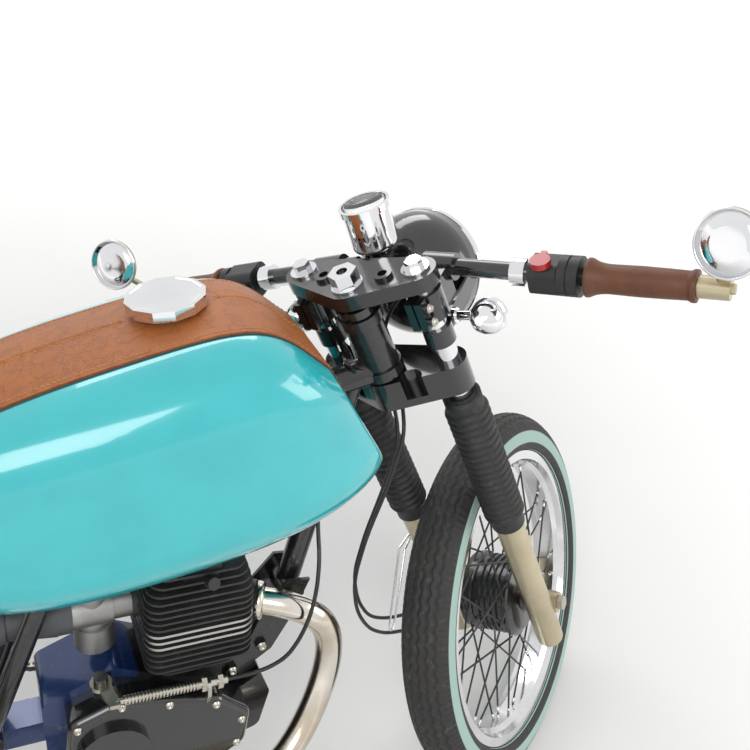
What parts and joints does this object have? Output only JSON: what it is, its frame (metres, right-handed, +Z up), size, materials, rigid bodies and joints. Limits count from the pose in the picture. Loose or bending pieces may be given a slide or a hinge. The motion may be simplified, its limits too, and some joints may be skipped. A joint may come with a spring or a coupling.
{
  "type": "cafe racer motorcycle",
  "caption": "Cafe racer motorcycle leaning on its side stand: deep tank with leather strap, clip-on bars, finned single engine and wire wheels.",
  "frame": {"origin": "on the floor, under the middle of the parked machine's box", "axes": "+X forward along the parked machine, +Y to the rider's left, the side it leans to, +Z up"},
  "size_m": [1.852, 0.6904, 1.116],
  "materials": {
    "tyre_rubber": "matt with a pale sidewall band",
    "chrome_rim": "polished",
    "spoke_black": "satin black",
    "hub_black": "gloss black",
    "fork_chrome": "polished",
    "slider_aluminium": "warm satin",
    "gaiter_rubber": "matt",
    "axle_steel": "zinc",
    "plate_black": "satin black",
    "gloss_black": "gloss black",
    "bright_chrome": "polished",
    "brown_rubber": "ribbed matt brown",
    "satin_silver": "satin",
    "switch_red": "gloss",
    "switch_black": "satin",
    "lamp_glass": "clear ribbed glass",
    "cable_black": "satin sleeve",
    "turquoise_paint": "gloss turquoise",
    "tan_leather": "tan, stitched",
    "frame_black": "gloss black",
    "shock_steel": "chrome springs",
    "blue_case": "gloss blue",
    "fin_black": "black with polished fin edges",
    "carb_alloy": "cast",
    "filter_gauze": "pleated gauze",
    "header_chrome": "polished",
    "chain_steel": "oiled",
    "seat_leather": "brown, stitched",
    "fender_black": "satin black",
    "tail_red": "red lens"
  },
  "bodies": {
    "chassis": {"fuel_tank": "turquoise_paint", "tank_leather": "tan_leather", "frame_backbone": "frame_black", "frame_downtube": "frame_black", "frame_seat_loop": "frame_black", "swingarm": "frame_black", "rear_axle_and_pivot": "axle_steel", "rear_brake_plate": "plate_black", "rear_shocks": "shock_steel", "crankcase": "blue_case", "engine_covers": "blue_case", "clutch_linkage": "axle_steel", "clutch_cable": "cable_black", "cylinder_barrel": "fin_black", "cylinder_head": "fin_black", "carburettor": "carb_alloy", "air_filter": "filter_gauze", "exhaust_header": "header_chrome", "muffler": "header_chrome", "drive_chain": "chain_steel", "seat": "seat_leather", "rear_fender": "fender_black", "battery_box": "fender_black", "tail_lamp": "tail_red", "rear_signals": "bright_chrome", "rearsets": "satin_silver", "frame_posts": "frame_black"},
    "steering": {"fork_tubes": "fork_chrome", "fork_sliders": "slider_aluminium", "fork_gaiters": "gaiter_rubber", "front_axle": "axle_steel", "front_brake_plate": "plate_black", "top_yoke": "gloss_black", "stem_nut": "bright_chrome", "bottom_yoke": "gloss_black", "clip_ons": "gloss_black", "grips": "brown_rubber", "bar_end_mirrors": "satin_silver", "lever_perches": "bright_chrome", "hand_levers": "satin_silver", "switchgear": "switch_black", "kill_switch": "switch_red", "speedometer": "bright_chrome", "headlamp_shell": "gloss_black", "headlamp_rim": "bright_chrome", "headlamp_lens": "lamp_glass", "headlamp_ears": "gloss_black", "front_signals": "bright_chrome", "cable_guide": "bright_chrome", "control_cables": "cable_black"},
    "front_wheel": {"front_tyre": "tyre_rubber", "front_rim": "chrome_rim", "front_spokes": "spoke_black", "front_hub": "hub_black"},
    "rear_wheel": {"rear_tyre": "tyre_rubber", "rear_rim": "chrome_rim", "rear_spokes": "spoke_black", "rear_hub": "hub_black"},
    "filler_cap": {"fuel_cap": "bright_chrome"},
    "side_stand": {"side_stand": "frame_black"}
  },
  "joints": [
    {"name": "steering_turn", "type": "hinge", "parent": "chassis", "child": "steering", "pos_m": [0.36006, -0.02819, 0.79255], "axis": [-0.4485, 0.2004, 0.871], "range_deg": [-80, 0]},
    {"name": "front_wheel_spin", "type": "hinge", "parent": "steering", "child": "front_wheel", "pos_m": [0.67015, -0.1102, 0.27535], "axis": [-0.5756, 0.6808, -0.453], "continuous": true},
    {"name": "rear_wheel_spin", "type": "hinge", "parent": "chassis", "child": "rear_wheel", "pos_m": [-0.61804, -0.14304, 0.30126], "axis": [-0.0014, 0.9744, -0.2249], "continuous": true},
    {"name": "side_stand_swing", "type": "hinge", "parent": "chassis", "child": "side_stand", "pos_m": [-0.05862, -0.08413, 0.20614], "axis": [0.1721, 0.8216, 0.5435], "range_deg": [0, 101.8]},
    {"name": "filler_cap_lift", "type": "slide", "parent": "chassis", "child": "filler_cap", "axis": [-0.1504, 0.2222, 0.9633], "range_m": [0, 0.05]}
  ]
}
